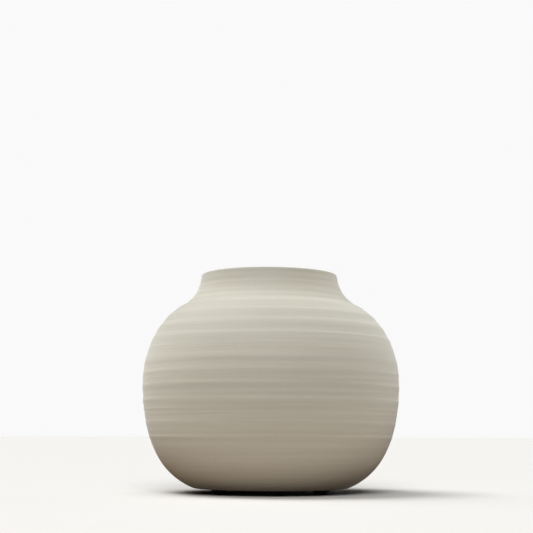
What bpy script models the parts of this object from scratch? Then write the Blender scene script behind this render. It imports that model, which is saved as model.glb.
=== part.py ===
"""Thrown stoneware vase: a squat round pot with a short collar, on three felt pads.

The clay body is one thrown piece. A coat of liner glaze covers its inside, and
three self-adhesive felt pads are stuck to its foot.

Units are metres and +Z is up. The origin is the centre of the plane that the
pads stand on. Outlines are lists of points (radius, 0, height).
"""

from math import cos, pi, radians, sin

import bpy
from mathutils import Vector
from mathutils.geometry import interpolate_bezier

OBJECT_NAME = "stoneware_vase"

# Gap kept between pieces that touch: an adhesive film under the clay, a bond line inside it.
GAP = 0.0003

# Felt pads, standing on z = 0.
PAD_COUNT = 3
PAD_RADIUS = 0.005
PAD_THICKNESS = 0.0030
PAD_EDGE = 0.0003
PAD_RING_RADIUS = 0.0355
FIRST_PAD_ANGLE = radians(90)
PAD_SIDES = 24

# Outer outline of the clay, from the foot's edge up. Heights are above the foot's flat
# ring, which the pads lift off the ground. Each slope is measured from level, and each
# reach is how far the curve's handle runs along that slope.
FOOT_LIFT = PAD_THICKNESS + GAP
FOOT_RADIUS = 0.0482
FOOT_SLOPE = radians(22)
FOOT_REACH = 0.0238
BELLY_RADIUS = 0.0800
BELLY_HEIGHT = 0.0648
BELLY_REACH_DOWN = 0.0327
BELLY_REACH_UP = 0.0205
SHOULDER_RADIUS = 0.0549
SHOULDER_HEIGHT = 0.1127
SHOULDER_SLOPE = radians(27.6)
SHOULDER_REACH_DOWN = 0.0166
SHOULDER_REACH_UP = 0.0106
NECK_RADIUS = 0.0429
NECK_HEIGHT = 0.1320
NECK_SLOPE = radians(82)
NECK_REACH = 0.0050

# Clay thickness, and the trimmed hollow under the foot.
WALL = 0.0050
FLOOR = 0.0065
RECESS_RADIUS = 0.0285
RECESS_BEVEL = 0.0020
RECESS_DEPTH = 0.0015

# Lip: level on top, with a tight outer edge and a broader rounding inside.
LIP_EDGE = 0.0008
LIP_ROUNDING = 0.0020

# Liner glaze: its thickness, and how far its edge stays below the lip's inner rounding.
GLAZE = 0.0007
GLAZE_DROP = 0.0012

# Fineness of the turned shapes.
SIDES = 48
LOWER_POINTS = 11
UPPER_POINTS = 10
COLLAR_POINTS = 6
EDGE_POINTS = 4
MERGE_DISTANCE = 0.00001


def remove_objects():
    """Empty the scene."""
    for old in list(bpy.data.objects):
        bpy.data.objects.remove(old, do_unlink=True)


def part_collection():
    """Return a new collection for the vase's pieces, linked to the scene."""
    collection = bpy.data.collections.new(OBJECT_NAME)
    bpy.context.scene.collection.children.link(collection)
    return collection


def principled(name, colour, roughness):
    """Return a Principled material with one colour and roughness."""
    material = bpy.data.materials.new(name)
    material.use_nodes = True
    shader = material.node_tree.nodes["Principled BSDF"]
    shader.inputs["Base Color"].default_value = (*colour, 1.0)
    shader.inputs["Roughness"].default_value = roughness
    shader.inputs["Metallic"].default_value = 0.0
    return material


def point(radius, height):
    """A point of an outline."""
    return Vector((radius, 0.0, height))


def inward(slope, reach):
    """A step of the given reach that rises at a slope while it closes in on the axis."""
    return Vector((-cos(slope), 0.0, sin(slope))) * reach


def outer_outline():
    """Points up the outside of the clay, from the foot's edge to the start of the lip."""
    foot = point(FOOT_RADIUS, FOOT_LIFT)
    belly = point(BELLY_RADIUS, FOOT_LIFT + BELLY_HEIGHT)
    shoulder = point(SHOULDER_RADIUS, FOOT_LIFT + SHOULDER_HEIGHT)
    neck = point(NECK_RADIUS, FOOT_LIFT + NECK_HEIGHT)

    foot_handle = foot + point(cos(FOOT_SLOPE), sin(FOOT_SLOPE)) * FOOT_REACH
    belly_below = belly - point(0.0, BELLY_REACH_DOWN)
    belly_above = belly + point(0.0, BELLY_REACH_UP)
    shoulder_below = shoulder - inward(SHOULDER_SLOPE, SHOULDER_REACH_DOWN)
    shoulder_above = shoulder + inward(SHOULDER_SLOPE, SHOULDER_REACH_UP)
    neck_below = neck - inward(NECK_SLOPE, NECK_REACH)

    lower = interpolate_bezier(foot, foot_handle, belly_below, belly, LOWER_POINTS)
    upper = interpolate_bezier(belly, belly_above, shoulder_below, shoulder, UPPER_POINTS)
    collar = interpolate_bezier(shoulder, shoulder_above, neck_below, neck, COLLAR_POINTS)
    return lower + upper[1:] + collar[1:]


def offset(outline, distance):
    """Return the outline moved towards the inside of the vase by a distance."""
    moved = []
    last = len(outline) - 1
    for index, here in enumerate(outline):
        before = outline[max(index - 1, 0)]
        after = outline[min(index + 1, last)]
        along = (after - before).normalized()
        moved.append(here + Vector((-along.z, 0.0, along.x)) * distance)
    return moved


def at_height(outline, height):
    """The point where a rising outline reaches a height."""
    for below, above in zip(outline, outline[1:]):
        if below.z <= height <= above.z:
            return below.lerp(above, (height - below.z) / (above.z - below.z))
    raise ValueError("the outline doesn't reach this height")


def inner_outline(outer, depth, top):
    """Points up the inside at a depth below the outside: a level floor, then the wall.

    It starts on the axis and stops at a top height.
    """
    wall = offset(outer, depth)
    floor = FOOT_LIFT + FLOOR + depth - WALL
    between = [spot for spot in wall if floor < spot.z < top]
    return [point(0.0, floor), at_height(wall, floor), *between, at_height(wall, top)]


def rounding(centre, radius, start, end):
    """Points along a round stretch, between two angles from the outward direction."""
    turns = [start + (end - start) * step / (EDGE_POINTS - 1) for step in range(EDGE_POINTS)]
    return [centre + point(cos(turn), sin(turn)) * radius for turn in turns]


def lip_outline(outer):
    """Points over the lip, from the end of the outer outline to the top of the inner wall."""
    lean = pi / 2 - NECK_SLOPE
    outward = point(cos(lean), sin(lean))
    edge_centre = outer[-1] - outward * LIP_EDGE
    top = edge_centre.z + LIP_EDGE
    beside = outer[-1] - outward * (WALL - LIP_ROUNDING)
    rise = top - LIP_ROUNDING - beside.z
    inner_centre = beside + inward(NECK_SLOPE, rise / sin(NECK_SLOPE))
    edge = rounding(edge_centre, LIP_EDGE, lean, pi / 2)
    inside = rounding(inner_centre, LIP_ROUNDING, pi / 2, pi + lean)
    return edge + inside


def glaze_edge(inner_end, clay_end):
    """Points over the glaze's half-round edge, between two ends at one height."""
    centre = (inner_end + clay_end) / 2
    return rounding(centre, (clay_end - centre).x, pi, 0.0)[1:-1]


def turned(name, outline, material, collection):
    """Turn an outline about the Z axis into a closed solid."""
    mesh = bpy.data.meshes.new(name)
    edges = [(index, index + 1) for index in range(len(outline) - 1)]
    mesh.from_pydata(outline, edges, [])
    mesh.materials.append(material)
    solid = bpy.data.objects.new(name, mesh)
    collection.objects.link(solid)

    screw = solid.modifiers.new("Turn", "SCREW")
    screw.steps = SIDES
    screw.render_steps = SIDES
    screw.use_merge_vertices = True
    screw.merge_threshold = MERGE_DISTANCE
    screw.use_smooth_shade = True
    return solid


def make_body(outer, collection):
    """The thrown and trimmed clay: floor, wall, collar, lip and foot in one piece."""
    lip = lip_outline(outer)
    inner = inner_outline(outer, WALL, lip[-1].z)
    foot = [
        point(RECESS_RADIUS, FOOT_LIFT),
        point(RECESS_RADIUS - RECESS_BEVEL, FOOT_LIFT + RECESS_DEPTH),
        point(0.0, FOOT_LIFT + RECESS_DEPTH),
    ]
    clay = principled("stoneware", (0.48, 0.44, 0.36), 0.75)
    turned("stoneware_body", inner[:-1] + lip[::-1] + outer[-2::-1] + foot, clay, collection)


def make_liner(outer, collection):
    """The glaze coat inside, which ends in a rounded edge just below the lip."""
    top = lip_outline(outer)[-1].z - GLAZE_DROP
    inside = inner_outline(outer, WALL + GAP + GLAZE, top)
    clay_side = inner_outline(outer, WALL + GAP, top)
    edge = glaze_edge(inside[-1], clay_side[-1])
    glaze = principled("liner_glaze", (0.55, 0.52, 0.44), 0.2)
    turned("liner_glaze", inside + edge + clay_side[::-1], glaze, collection)


def make_pad(name, angle, material, collection):
    """A die-cut felt disc under the foot's flat ring."""
    place = (
        PAD_RING_RADIUS * cos(angle),
        PAD_RING_RADIUS * sin(angle),
        PAD_THICKNESS / 2,
    )
    bpy.ops.mesh.primitive_cylinder_add(
        vertices=PAD_SIDES, radius=PAD_RADIUS, depth=PAD_THICKNESS, location=place
    )
    pad = bpy.context.object
    pad.name = name
    pad.data.materials.append(material)
    for owner in list(pad.users_collection):
        owner.objects.unlink(pad)
    collection.objects.link(pad)

    edge = pad.modifiers.new("Edge", "BEVEL")
    edge.width = PAD_EDGE
    edge.segments = 1
    pad.data.shade_smooth()
    pad.data.set_sharp_from_angle(angle=radians(30))


def main():
    """Build the vase."""
    remove_objects()
    collection = part_collection()
    outer = outer_outline()
    make_body(outer, collection)
    make_liner(outer, collection)

    felt = principled("felt", (0.05, 0.045, 0.04), 0.95)
    for index in range(PAD_COUNT):
        angle = FIRST_PAD_ANGLE + index * 2 * pi / PAD_COUNT
        make_pad(f"foot_pad_{index + 1}", angle, felt, collection)


main()
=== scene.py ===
"""A thrown stoneware vase in soft studio light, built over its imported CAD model.

The clay body, the liner glaze and the felt pads are rebuilt as fine meshes in the
places of their CAD solids. Units are metres, +Z is up and the front faces -Y.
Outlines are arrays of (radius, height) rows.
"""

from math import cos, pi, radians, sin

import bpy
import numpy as np
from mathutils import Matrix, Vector, noise


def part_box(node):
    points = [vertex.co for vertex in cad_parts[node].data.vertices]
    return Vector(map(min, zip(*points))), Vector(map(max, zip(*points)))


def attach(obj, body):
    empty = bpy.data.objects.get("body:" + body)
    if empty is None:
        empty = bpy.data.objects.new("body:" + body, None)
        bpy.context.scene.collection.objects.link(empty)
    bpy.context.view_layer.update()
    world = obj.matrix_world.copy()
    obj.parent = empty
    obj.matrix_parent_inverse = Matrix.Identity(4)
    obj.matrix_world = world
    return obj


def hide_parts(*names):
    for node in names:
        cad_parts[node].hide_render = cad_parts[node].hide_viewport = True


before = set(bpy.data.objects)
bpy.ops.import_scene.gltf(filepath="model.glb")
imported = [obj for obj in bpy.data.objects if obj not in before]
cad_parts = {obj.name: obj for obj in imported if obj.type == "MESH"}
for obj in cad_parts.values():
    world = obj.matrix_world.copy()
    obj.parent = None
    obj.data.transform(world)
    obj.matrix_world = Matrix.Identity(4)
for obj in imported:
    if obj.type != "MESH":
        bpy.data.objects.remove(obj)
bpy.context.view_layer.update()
clay_low, clay_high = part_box("stoneware_body")

# Outer outline of the clay, as in the CAD: heights are above the foot's flat ring,
# each slope is measured from level, and each reach is a curve handle's length.
FOOT_RADIUS = 0.0482
FOOT_SLOPE = radians(22)
FOOT_REACH = 0.0238
BELLY_HEIGHT = 0.0648
BELLY_REACH_DOWN = 0.0327
BELLY_REACH_UP = 0.0205
SHOULDER_RADIUS = 0.0549
SHOULDER_HEIGHT = 0.1127
SHOULDER_SLOPE = radians(27.6)
SHOULDER_REACH_DOWN = 0.0166
SHOULDER_REACH_UP = 0.0106
NECK_RADIUS = 0.0429
NECK_HEIGHT = 0.1320
NECK_SLOPE = radians(82)
NECK_REACH = 0.0050

# Thickness of the clay's wall and floor, the rounding of the foot's edge, and the trimmed
# hollow under the foot.
WALL = 0.0050
FLOOR = 0.0065
FOOT_EDGE = 0.0008
RECESS_RADIUS = 0.0285
RECESS_BEVEL = 0.0020
RECESS_DEPTH = 0.0015

# Lip: level on top, with a tight outer edge and a broader rounding inside.
LIP_EDGE = 0.0008
LIP_ROUNDING = 0.0020

# Glaze coat inside: it thins out towards its edge, just below the lip. The edge goes up
# and down in waves, and each count says how many of them fit round the neck.
GLAZE = 0.0009
GLAZE_AT_EDGE = 0.0004
GLAZE_DROP = 0.0012
GLAZE_THINNING = 0.0080
GLAZE_WAVE = 0.00025
GLAZE_WAVE_COUNTS = (2, 3, 5, 9)

# The finger rings inside are hollows where the outer ones stand out: how many times as
# deep they are, and the most that the glaze stands out between them.
INNER_RING_DEPTH = 1.6
INNER_RIDGE = 0.0003

# Throwing rings, from the potter's fingers, in millimetres: each crest's height above
# the ground, how far it stands out, and how broad it is above and below the crest.
MM = 0.001
RINGS = (
    (18.0, 0.060, 3.0, 5.0),
    (34.4, 0.145, 1.0, 1.6),
    (37.4, 0.040, 0.8, 1.2),
    (42.8, 0.140, 1.2, 2.2),
    (48.2, 0.045, 0.8, 1.2),
    (50.6, 0.045, 0.8, 1.0),
    (56.4, 0.220, 1.3, 3.0),
    (65.3, 0.230, 1.2, 2.8),
    (73.2, 0.145, 1.1, 2.0),
    (80.0, 0.210, 2.6, 1.8),
    (88.2, 0.060, 1.0, 2.0),
    (94.3, 0.250, 1.2, 3.2),
    (101.8, 0.240, 1.2, 3.0),
    (108.8, 0.300, 1.2, 2.6),
    (114.8, 0.160, 1.4, 2.2),
    (118.6, 0.250, 1.2, 1.4),
    (122.6, 0.080, 0.9, 1.3),
    (127.2, 0.060, 0.9, 1.3),
)

# How steeply the rings fall to the right, in height for each metre across, and the
# height over which they fade out at the foot and at the lip.
RING_FALL = 0.004
RING_FADE = 0.0040

# The hand's unevenness, as noise: how deep it is, how much it changes on the way round,
# over what height or radius it changes, and its seed. The rings wander up and down, and
# their relief varies by a fraction. Streaks are the finer finger marks on the wall,
# grooves come from trimming under the foot, and the waver is in the wall as a whole.
RING_WANDER = (0.0004, 0.8, 0.030, 3.1)
RING_VARIATION = (0.35, 1.1, 0.012, 7.7)
STREAKS = ((0.000045, 0.6, 0.0036, 11.3), (0.000024, 0.6, 0.0018, 17.9))
GROOVES = ((0.000045, 0.6, 0.0016, 31.7), (0.000030, 0.6, 0.0008, 38.3))
WAVER = (0.00012, 1.0, 0.045, 23.5)

# Sponging has calmed the streaks on the low part of the wall, to this share.
CALM = 0.4
CALM_BELOW = 0.026
CALM_UP_TO = 0.038

# The hand-made pot isn't quite true: its neck stands a little to the left, and what is
# above its foot falls slightly to the right.
NECK_SHIFT = -0.0011
NECK_SHIFT_START = 0.095
LEAN = 0.003

# Felt pads: the rounding of their cut edges, and how rough their fibres leave them, as
# noise in the same four numbers.
PAD_NUMBERS = (1, 2, 3)
PAD_ROUNDING = 0.0006
FUZZ = (0.00006, 14.0, 0.0004, 41.0)

# Fineness of the meshes: the sides of the turned shapes, the points of a curve, and the
# distance between rows. Coarse rows are for faces that another piece covers.
SIDES = 180
PAD_SIDES = 96
CURVE_POINTS = 400
WALL_ROW = 0.0005
UNDER_ROW = 0.0004
LIP_ROW = 0.0002
COARSE_ROW = 0.0030
GLAZE_ROW = 0.0008
GLAZE_EDGE_ROW = 0.000125
PAD_ROW = 0.00015

# Colours of the clay: in its cool and warm bands, in the painted warm reflected light and
# slight shade low down, in its mottling and in its specks. The painted reflected light is at
# its strongest up to the first height and ends at the second.
CLAY_COOL = (0.462, 0.456, 0.400)
CLAY_WARM = (0.452, 0.430, 0.362)
CLAY_PAINTED_BOUNCE = (0.472, 0.420, 0.336)
CLAY_MOTTLE = (0.430, 0.395, 0.325)
CLAY_SPECK = (0.22, 0.17, 0.12)
PAINTED_BOUNCE_HEIGHTS = (0.008, 0.075)

# Colours of the glaze where it is thick and thin, of the felt with painted shade in its hollows
# and painted light on its fibre tips, and of the adhesive.
GLAZE_THICK = (0.560, 0.535, 0.460)
GLAZE_THIN = (0.500, 0.455, 0.370)
FELT_PAINTED_SHADE = (0.022, 0.020, 0.018)
FELT_PAINTED_LIGHT = (0.085, 0.076, 0.066)
FILM_COLOUR = (0.62, 0.55, 0.38)

# Floor of the stage: its colour to the camera, and the colours of the light that it throws
# back: a near-black painted shade close round the foot, standing for the contact shadow that
# darkens the clay's underside, and a dark wood tone beyond. One turns into the other between
# these two radii.
STAGE_REACH = 30.0
STAGE_COLOUR = (0.60, 0.59, 0.57)
FOOT_PAINTED_SHADE = (0.010, 0.008, 0.006)
STAGE_BOUNCE = (0.215, 0.160, 0.104)
PAINTED_SHADE_RADII = (0.050, 0.072)

# Lights: how far round each stands, from the front towards the left, and how high, in
# degrees, then how strong it is.
LIGHTS = {
    "front": (0, 33, 0.88),
    "left": (90, 66, 0.72),
    "overhead": (0, 90, 0.30),
    "left_back": (125, 48, 0.16),
    "right_back": (235, 4, 0.19),
}
LIGHT_BREADTH = radians(32)

# Strength of the white surroundings: as light on the vase, and as the camera sees them.
WORLD_FILL = 0.04
WORLD_SEEN = 0.95

# Camera: where it stands, how far it is tilted up and rolled, and its lens in millimetres.
CAMERA_X = -0.0026
CAMERA_DISTANCE = 0.770
CAMERA_HEIGHT = 0.0351
CAMERA_PITCH = radians(7.90)
CAMERA_ROLL = 0.003
CAMERA_LENS = 82.5
CAMERA_CLIP = 0.01


# ---------------------------------------------------------------- outlines


def curve(start, start_way, end_way, end):
    """Points along the cubic curve between two points of an outline."""
    t = np.linspace(0.0, 1.0, CURVE_POINTS)[:, None]
    s = 1.0 - t
    return s**3 * start + 3 * s**2 * t * start_way + 3 * s * t**2 * end_way + t**3 * end


def arc(centre, radius, start, end):
    """Points along a round stretch, between two angles from the outward direction."""
    angles = np.linspace(start, end, CURVE_POINTS)
    return centre + radius * np.column_stack([np.cos(angles), np.sin(angles)])


def joined(*stretches):
    """One array of rows from stretches, each later one without its first row."""
    return np.vstack([stretches[0]] + [stretch[1:] for stretch in stretches[1:]])


def spaced(line, gap):
    """The outline with its points about a gap apart."""
    steps = np.hypot(*np.diff(line, axis=0).T)
    along = np.concatenate([[0.0], np.cumsum(steps)])
    count = max(2, round(along[-1] / gap) + 1)
    places = np.linspace(0.0, along[-1], count)
    return np.column_stack([np.interp(places, along, line[:, k]) for k in (0, 1)])


def outward(line):
    """Unit normals on the right-hand side of an outline's direction of travel."""
    along = np.gradient(line, axis=0)
    along /= np.hypot(along[:, 0], along[:, 1])[:, None]
    return np.column_stack([along[:, 1], -along[:, 0]])


def way(slope, reach):
    """A step that rises at a slope while it closes in on the axis."""
    return np.array([-cos(slope), sin(slope)]) * reach


def clay_outside():
    """The clay's outer outline, from the foot's edge up to the start of the lip."""
    ground = np.array([0.0, clay_low.z])
    foot = ground + (FOOT_RADIUS, 0.0)
    belly = ground + (clay_high.x, BELLY_HEIGHT)
    shoulder = ground + (SHOULDER_RADIUS, SHOULDER_HEIGHT)
    neck = ground + (NECK_RADIUS, NECK_HEIGHT)
    lower = curve(
        foot,
        foot + np.array([cos(FOOT_SLOPE), sin(FOOT_SLOPE)]) * FOOT_REACH,
        belly - (0.0, BELLY_REACH_DOWN),
        belly,
    )
    upper = curve(
        belly,
        belly + (0.0, BELLY_REACH_UP),
        shoulder - way(SHOULDER_SLOPE, SHOULDER_REACH_DOWN),
        shoulder,
    )
    collar = curve(
        shoulder,
        shoulder + way(SHOULDER_SLOPE, SHOULDER_REACH_UP),
        neck - way(NECK_SLOPE, NECK_REACH),
        neck,
    )
    return joined(lower, upper, collar)


def clay_underside(foot):
    """The outline under the clay, from the hollow's centre out over the foot's edge."""
    hollow_height = clay_low.z + RECESS_DEPTH
    hollow_radius = RECESS_RADIUS - RECESS_BEVEL
    edge_centre = foot + np.array([-sin(FOOT_SLOPE), cos(FOOT_SLOPE)]) * FOOT_EDGE
    edge_low = edge_centre - (0.0, FOOT_EDGE)
    return joined(
        np.array([[0.0, hollow_height], [hollow_radius, hollow_height]]),
        curve(
            np.array([hollow_radius, hollow_height]),
            np.array([RECESS_RADIUS, hollow_height]),
            np.array([hollow_radius, edge_low[1]]),
            np.array([RECESS_RADIUS, edge_low[1]]),
        ),
        np.array([[RECESS_RADIUS, edge_low[1]], edge_low]),
        arc(edge_centre, FOOT_EDGE, -pi / 2, FOOT_SLOPE - pi / 2),
    )


def clay_lip(outside):
    """The outline over the lip, from the outer wall's end to the inner wall."""
    lean = pi / 2 - NECK_SLOPE
    outward_way = np.array([cos(lean), sin(lean)])
    edge_centre = outside[-1] - outward_way * LIP_EDGE
    beside = outside[-1] - outward_way * (WALL - LIP_ROUNDING)
    rise = edge_centre[1] + LIP_EDGE - LIP_ROUNDING - beside[1]
    inner_centre = beside + way(NECK_SLOPE, rise / sin(NECK_SLOPE))
    edge = arc(edge_centre, LIP_EDGE, lean, pi / 2)
    rounding = arc(inner_centre, LIP_ROUNDING, pi / 2, pi + lean)
    return joined(edge, rounding)


def inside_face(outside, depth):
    """The outline at a depth below the outside, from the floor's centre up to the lip."""
    wall = outside - outward(outside) * np.broadcast_to(depth, len(outside))[:, None]
    floor = clay_low.z + FLOOR + np.ravel(depth)[0] - WALL
    wall = wall[wall[:, 1] > floor]
    return joined(np.array([[0.0, floor], [wall[0, 0], floor]]), wall)


# ------------------------------------------------------------ hand-made relief


def smooth_step(value, start, end):
    """0 before start, 1 after end, and a smooth rise between them."""
    t = np.clip((value - start) / (end - start), 0.0, 1.0)
    return t * t * (3.0 - 2.0 * t)


def unevenness(places, angles, depth, turns, length, seed):
    """Smooth noise, up to a depth either way, that is seamless round the axis.

    The places are heights or radii. turns sets how much it changes on the way round,
    and length how fast it changes from place to place.
    """
    ways = [(cos(angle) * turns, sin(angle) * turns) for angle in angles]
    return depth * np.array([
        [noise.noise(Vector((x, y, place / length + seed))) for x, y in ways]
        for place in places
    ])


def ring_profile(heights):
    """Relief of the throwing rings at some heights above the ground."""
    relief = np.zeros_like(heights)
    for crest, size, above, below in RINGS:
        away = heights - crest * MM
        breadth = np.where(away > 0.0, above, below) * MM
        relief += size * MM * np.exp(-(away / breadth) ** 2)
    return relief


def fine_relief(places, angles, marks):
    """Relief of fine marks that run round the pot."""
    return sum(unevenness(places, angles, *mark) for mark in marks)


def throwing_relief(outline, angles, strength):
    """Relief of the rings and the finer finger marks on rows of an outline."""
    heights = outline[:, 1]
    wander = unevenness(heights, angles, *RING_WANDER)
    fall = RING_FALL * outline[:, :1] * np.cos(angles)
    rings = ring_profile(heights[:, None] + wander + fall)
    rings *= 1.0 + unevenness(heights, angles, *RING_VARIATION)
    calm = CALM + (1.0 - CALM) * smooth_step(heights, CALM_BELOW, CALM_UP_TO)
    streaks = calm[:, None] * fine_relief(heights, angles, STREAKS)
    return strength[:, None] * (rings + streaks) + unevenness(heights, angles, *WAVER)


def settled(points):
    """Points of the pot moved as it leans and as its neck stands off centre."""
    x, y, z = points.T
    moved = x + NECK_SHIFT * smooth_step(z, NECK_SHIFT_START, clay_high.z)
    rise = np.clip((z - clay_low.z) / BELLY_HEIGHT, 0.0, 1.0)
    return np.column_stack([moved, y, z - LEAN * rise * x])


# ------------------------------------------------------------------ meshes


def full_turn(sides):
    """Angles of the sides of a turned shape."""
    return np.arange(sides) * 2 * pi / sides


def turned_mesh(name, outline, angles, relief, place=np.asarray):
    """A closed mesh from an outline that starts and ends on the axis.

    The outline's first and last rows become poles, and relief moves the others
    along their normals. place moves the finished points; without it they stay.
    """
    rows = outline[1:-1]
    normals = outward(outline)[1:-1]
    radii = rows[:, :1] + normals[:, :1] * relief[1:-1]
    heights = rows[:, 1:] + normals[:, 1:] * relief[1:-1]
    grid = np.stack([radii * np.cos(angles), radii * np.sin(angles), heights], axis=2)
    ends = [(0.0, 0.0, outline[0, 1]), (0.0, 0.0, outline[-1, 1])]
    points = place(np.vstack([grid.reshape(-1, 3), ends]))

    count, sides = radii.shape
    start = np.arange(count - 1)[:, None] * sides
    here = np.arange(sides)
    after = np.roll(here, -1)
    quads = np.stack(
        [start + here, start + after, start + sides + after, start + sides + here], axis=2
    )
    last = (count - 1) * sides
    bottom, top = count * sides, count * sides + 1
    faces = quads.reshape(-1, 4).tolist()
    faces += [(bottom, b, a) for a, b in zip(here.tolist(), after.tolist())]
    faces += [(last + a, last + b, top) for a, b in zip(here.tolist(), after.tolist())]

    mesh = bpy.data.meshes.new(name)
    mesh.from_pydata(points.tolist(), [], faces)
    mesh.shade_smooth()
    return mesh


def piece(name, mesh, material, slot, *nodes, location=(0.0, 0.0, 0.0)):
    """A piece of the vase that stands for CAD nodes and rides with its one body."""
    made = bpy.data.objects.new(name, mesh)
    made.location = location
    made.data.materials.append(material)
    bpy.context.scene.collection.objects.link(made)
    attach(made, "root")
    if nodes:
        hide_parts(*nodes)


def make_clay(outside):
    """The thrown body: trimmed foot, wall with its rings, lip, and the inside."""
    lip = clay_lip(outside)
    inside = inside_face(outside, WALL)
    inside = np.vstack([inside[inside[:, 1] < lip[-1, 1]], lip[-1:]])

    under_rows = spaced(clay_underside(outside[0]), UNDER_ROW)
    wall_rows = spaced(outside, WALL_ROW)
    lip_rows = spaced(lip, LIP_ROW)
    inside_rows = spaced(inside[::-1], COARSE_ROW)
    outline = joined(under_rows, wall_rows, lip_rows, inside_rows)

    angles = full_turn(SIDES)
    heights = wall_rows[:, 1]
    strength = smooth_step(heights, clay_low.z, clay_low.z + RING_FADE)
    strength *= 1.0 - smooth_step(heights, clay_high.z - RING_FADE, clay_high.z)
    wall_relief = throwing_relief(wall_rows, angles, strength)
    under_relief = fine_relief(under_rows[:, 0], angles, GROOVES)
    under_relief[-1] = wall_relief[0]
    lip_relief = wall_relief[-1] + np.zeros((len(lip_rows), 1))
    inside_relief = np.zeros((len(inside_rows), SIDES))
    inside_relief[0] = lip_relief[-1]
    relief = joined(under_relief, wall_relief, lip_relief, inside_relief)
    mesh = turned_mesh("clay_body", outline, angles, relief, settled)
    piece("clay_body", mesh, clay_material(), "stoneware", "stoneware_body")


def make_glaze(outside):
    """The glaze coat inside the pot, over finger rings, with a soft wavy edge."""
    top = clay_lip(outside)[-1, 1] - GLAZE_DROP
    thinning = smooth_step(clay_high.z - outside[:, 1], 0.0, GLAZE_THINNING)
    thick = GLAZE_AT_EDGE + (GLAZE - GLAZE_AT_EDGE) * thinning
    clay_side = inside_face(outside, WALL)
    clay_side = clay_side[clay_side[:, 1] <= top]
    inside = inside_face(outside, WALL + thick)
    inside = inside[inside[:, 1] <= top]
    centre = (clay_side[-1] + inside[-1]) / 2
    arm = clay_side[-1] - centre
    turn = np.arctan2(arm[1], arm[0])
    edge = arc(centre, np.hypot(*arm), turn, turn + pi)

    back_rows = spaced(clay_side, COARSE_ROW)
    edge_rows = spaced(edge, GLAZE_EDGE_ROW)
    inside_rows = spaced(inside[::-1], GLAZE_ROW)
    outline = joined(back_rows, edge_rows, inside_rows)

    angles = full_turn(SIDES)
    strength = smooth_step(top - inside_rows[:, 1], 0.0, RING_FADE)
    inside_relief = -INNER_RING_DEPTH * throwing_relief(inside_rows, angles, strength)
    flat = np.zeros((len(back_rows) + len(edge_rows) - 1, SIDES))
    relief = joined(flat, np.minimum(inside_relief, INNER_RIDGE))

    def wavy(points):
        """Settled points, with the glaze's edge drawn up and down round the neck."""
        near = smooth_step(points[:, 2], top - GLAZE_THINNING, top)
        turns = np.arctan2(points[:, 1], points[:, 0])
        # Each wave is as much lower as it is shorter, and starts at a place of its own.
        wave = sum(np.sin(count * turns + count**2) / count for count in GLAZE_WAVE_COUNTS)
        moved = points + np.outer(GLAZE_WAVE * near * wave, (0.0, 0.0, 1.0))
        return settled(moved)

    mesh = turned_mesh("glaze_coat", outline, angles, relief, wavy)
    piece("glaze_coat", mesh, glaze_material(), "liner_glaze", "liner_glaze")


def make_pad(number):
    """A felt pad, soft at its cut edge, on the film of adhesive that holds it."""
    node = f"foot_pad_{number}"
    low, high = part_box(node)
    place = ((low.x + high.x) / 2, (low.y + high.y) / 2, low.z)
    thick = high.z - low.z
    flat_radius = (high.x - low.x) / 2 - PAD_ROUNDING
    outline = joined(
        np.array([[0.0, 0.0], [flat_radius, 0.0]]),
        arc(np.array([flat_radius, PAD_ROUNDING]), PAD_ROUNDING, -pi / 2, 0.0),
        arc(np.array([flat_radius, thick - PAD_ROUNDING]), PAD_ROUNDING, 0.0, pi / 2),
        np.array([[flat_radius, thick], [0.0, thick]]),
    )
    rows = spaced(outline, PAD_ROW)
    steps = np.arange(len(rows)) * PAD_ROW
    angles = full_turn(PAD_SIDES)
    depth, turns, length, seed = FUZZ
    # The fibres leave hollows only, so that the pad stays within its CAD solid.
    relief = unevenness(steps, angles, depth, turns, length, seed + number) - depth
    mesh = turned_mesh(f"felt_pad_{number}", rows, angles, relief)
    piece(f"felt_pad_{number}", mesh, felt_material(), "felt", node, location=place)

    top = clay_low.z - low.z
    film = np.array([[0.0, thick], [flat_radius, thick], [flat_radius, top], [0.0, top]])
    film_rows = spaced(film, PAD_ROW)
    flat = np.zeros((len(film_rows), PAD_SIDES))
    mesh = turned_mesh(f"pad_film_{number}", film_rows, angles, flat)
    piece(f"pad_film_{number}", mesh, film_material(), "felt", location=place)


# --------------------------------------------------------------- materials


def principled(name):
    """A new Principled material; returns it with its node tree and shader."""
    material = bpy.data.materials.new(name)
    material.use_nodes = True
    return material, material.node_tree, material.node_tree.nodes["Principled BSDF"]


def fill(tree, node, inputs):
    """Set or link a node's inputs, by name or number."""
    for key, value in inputs.items():
        if isinstance(value, bpy.types.NodeSocket):
            tree.links.new(value, node.inputs[key])
        else:
            node.inputs[key].default_value = value


def add(tree, kind, inputs, **settings):
    """Add a node, set its properties and fill its inputs."""
    made = tree.nodes.new(kind)
    for key, value in settings.items():
        setattr(made, key, value)
    fill(tree, made, inputs)
    return made


def own_space(tree):
    """Positions in the object's own space."""
    return tree.nodes.new("ShaderNodeTexCoord").outputs["Object"]


def camera_ray(tree):
    """1 for what the camera sees directly, and 0 for light on its way to other surfaces."""
    return tree.nodes.new("ShaderNodeLightPath").outputs["Is Camera Ray"]


def stretched_noise(tree, scale, detail, roughness=0.5):
    """Noise over the object's own space.

    scale is about how many spots of it a metre holds, along each axis.
    """
    scaled = add(
        tree, "ShaderNodeVectorMath", {0: own_space(tree), 1: scale}, operation="MULTIPLY"
    )
    pattern = add(
        tree,
        "ShaderNodeTexNoise",
        {"Vector": scaled.outputs[0], "Scale": 1.0, "Detail": detail, "Roughness": roughness},
    )
    return pattern.outputs["Fac"]


def ranged(tree, value, source, target):
    """A value mapped smoothly from one range to another, and held at its ends."""
    made = add(
        tree,
        "ShaderNodeMapRange",
        {
            "Value": value,
            "From Min": source[0],
            "From Max": source[1],
            "To Min": target[0],
            "To Max": target[1],
        },
        interpolation_type="SMOOTHSTEP",
    )
    return made.outputs["Result"]


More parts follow.
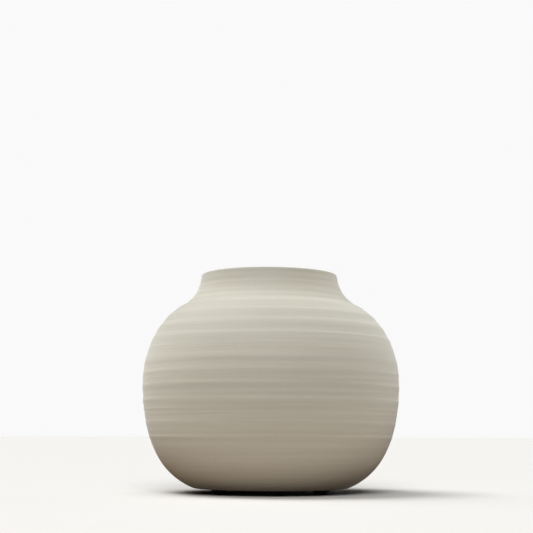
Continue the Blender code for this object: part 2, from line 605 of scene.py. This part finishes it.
def mixed(tree, amount, first, second, blend="MIX"):
    """Two colours mixed by an amount; each is a socket or three numbers."""
    first, second = (
        colour if isinstance(colour, bpy.types.NodeSocket) else (*colour, 1.0)
        for colour in (first, second)
    )
    # A Mix node's colours are its inputs 6 and 7 and its output 2.
    inputs = {0: amount, 6: first, 7: second}
    made = add(tree, "ShaderNodeMix", inputs, data_type="RGBA", blend_type=blend)
    return made.outputs[2]


def tinted(tree, colour, tint, pattern, source, weights):
    """A colour with a tint over it, as a pattern goes through a range of its values."""
    return mixed(tree, ranged(tree, pattern, source, weights), colour, tint)


def bump(tree, height, distance, below=None):
    """A bump from a height pattern, on top of another bump if one is below it."""
    inputs = {"Height": height, "Distance": distance}
    if below:
        inputs["Normal"] = below
    return add(tree, "ShaderNodeBump", inputs).outputs["Normal"]


def clay_material():
    """Matte grey-beige stoneware, streaked by the wheel, with painted warm reflected light and
    a little painted shade towards the foot.
    """
    material, tree, shader = principled("clay")
    bands = stretched_noise(tree, (4, 4, 70), detail=2.0)
    colour = tinted(tree, CLAY_COOL, CLAY_WARM, bands, (0.36, 0.64), (0.0, 0.5))
    height = add(tree, "ShaderNodeSeparateXYZ", {0: own_space(tree)}).outputs["Z"]
    # Painted warm reflected light from below: the clay turns warmer and a little darker towards
    # the foot.
    colour = tinted(tree, colour, CLAY_PAINTED_BOUNCE, height, PAINTED_BOUNCE_HEIGHTS, (0.8, 0.0))
    streaks = stretched_noise(tree, (9, 9, 520), detail=4.0, roughness=0.6)
    streak_tone = ranged(tree, streaks, (0.3, 0.7), (0.950, 1.040))
    grey = add(tree, "ShaderNodeCombineColor", {channel: streak_tone for channel in (0, 1, 2)})
    colour = mixed(tree, 1.0, colour, grey.outputs[0], "MULTIPLY")
    mottling = stretched_noise(tree, (26, 26, 40), detail=3.0)
    colour = tinted(tree, colour, CLAY_MOTTLE, mottling, (0.45, 0.70), (0.0, 0.12))
    specks = stretched_noise(tree, (1900, 1900, 1900), detail=1.0)
    colour = tinted(tree, colour, CLAY_SPECK, specks, (0.66, 0.74), (0.0, 0.25))

    lines = stretched_noise(tree, (14, 14, 900), detail=3.0, roughness=0.6)
    grain = stretched_noise(tree, (1500, 1500, 2600), detail=3.0, roughness=0.6)
    relief = bump(tree, lines, distance=0.00006)
    relief = bump(tree, grain, distance=0.00005, below=relief)
    fill(tree, shader, {
        "Base Color": colour,
        "Roughness": ranged(tree, streaks, (0.3, 0.7), (0.60, 0.76)),
        "Normal": relief,
        "Diffuse Roughness": 1.0,
        "Sheen Weight": 0.25,
        "Sheen Roughness": 0.4,
    })
    return material


def glaze_material():
    """Glossy pale glaze that breaks to a warmer tone where it is thin."""
    material, tree, shader = principled("glaze")
    pools = stretched_noise(tree, (30, 30, 70), detail=4.0)
    ripple = stretched_noise(tree, (160, 160, 240), detail=2.0)
    fill(tree, shader, {
        "Base Color": tinted(tree, GLAZE_THICK, GLAZE_THIN, pools, (0.35, 0.65), (0.0, 1.0)),
        "Roughness": 0.16,
        "Normal": bump(tree, ripple, distance=0.0002),
    })
    return material


def felt_material():
    """Dark pressed felt with matted fibres, painted darker in the hollows of its relief and
    lighter on the fibre tips.
    """
    material, tree, shader = principled("felt")
    fibres = stretched_noise(tree, (2600, 2600, 2600), detail=4.0, roughness=0.7)
    fill(tree, shader, {
        # Painted shade and light: the pattern that raises the fibres also darkens their hollows
        # and lightens their tips.
        "Base Color": tinted(tree, FELT_PAINTED_SHADE, FELT_PAINTED_LIGHT, fibres, (0.35, 0.7), (0.0, 1.0)),
        "Roughness": 0.95,
        "Normal": bump(tree, fibres, distance=0.0003),
        "Sheen Weight": 0.3,
    })
    return material


def film_material():
    """Yellowish adhesive film with smears."""
    material, tree, shader = principled("adhesive")
    smears = stretched_noise(tree, (700, 700, 700), detail=2.0)
    fill(tree, shader, {
        "Base Color": (*FILM_COLOUR, 1.0),
        "Roughness": ranged(tree, smears, (0.3, 0.7), (0.2, 0.5)),
    })
    return material


# ------------------------------------------------------------------- stage


def floor_material():
    """A pale floor to look at, which throws light back like dark wood.

    Close round the foot it throws back next to nothing: painted shade, standing for the contact
    shadow under the vase.
    """
    material, tree, shader = principled("floor")
    away = add(tree, "ShaderNodeVectorMath", {0: own_space(tree)}, operation="LENGTH")
    distance = away.outputs["Value"]
    # Painted shade: the light thrown back goes near black close round the foot.
    painted_shade_and_bounce = tinted(tree, FOOT_PAINTED_SHADE, STAGE_BOUNCE, distance, PAINTED_SHADE_RADII, (0.0, 1.0))
    fill(tree, shader, {
        "Base Color": mixed(tree, camera_ray(tree), painted_shade_and_bounce, STAGE_COLOUR),
        "Roughness": 0.8,
    })
    return material


def make_floor():
    """A broad pale floor."""
    mesh = bpy.data.meshes.new("floor")
    corners = [
        (x * STAGE_REACH, y * STAGE_REACH, 0.0) for x, y in ((-1, -1), (1, -1), (1, 1), (-1, 1))
    ]
    mesh.from_pydata(corners, [], [(0, 1, 2, 3)])
    mesh.materials.append(floor_material())
    floor = bpy.data.objects.new("floor", mesh)
    bpy.context.scene.collection.objects.link(floor)


def make_light(name, azimuth, elevation, strength):
    """A broad, distant soft light; azimuth turns from the front towards the left."""
    data = bpy.data.lights.new(name, "SUN")
    data.angle = LIGHT_BREADTH
    data.energy = pi * strength
    light = bpy.data.objects.new(name, data)
    light.rotation_euler = (pi / 2 - radians(elevation), 0.0, -radians(azimuth))
    bpy.context.scene.collection.objects.link(light)


def make_world():
    """Pale surroundings: white to look at, and a weak fill light on the vase."""
    world = bpy.data.worlds.new("studio")
    bpy.context.scene.world = world
    world.use_nodes = True
    tree = world.node_tree
    fill(tree, tree.nodes["Background"], {
        "Color": (1.0, 1.0, 1.0, 1.0),
        "Strength": ranged(tree, camera_ray(tree), (0.0, 1.0), (WORLD_FILL, WORLD_SEEN)),
    })


def make_camera():
    """A low camera in front of the vase, tilted up a little."""
    data = bpy.data.cameras.new("camera")
    data.lens = CAMERA_LENS
    data.clip_start = CAMERA_CLIP
    camera = bpy.data.objects.new("camera", data)
    camera.location = (CAMERA_X, -CAMERA_DISTANCE, CAMERA_HEIGHT)
    camera.rotation_euler = (pi / 2 + CAMERA_PITCH, -CAMERA_ROLL, 0.0)
    bpy.context.scene.collection.objects.link(camera)
    bpy.context.scene.camera = camera


outside = clay_outside()
make_clay(outside)
make_glaze(outside)
for number in PAD_NUMBERS:
    make_pad(number)

make_floor()
for name, (azimuth, elevation, strength) in LIGHTS.items():
    make_light(name, azimuth, elevation, strength)
make_world()
make_camera()
bpy.context.scene.view_settings.view_transform = "Standard"
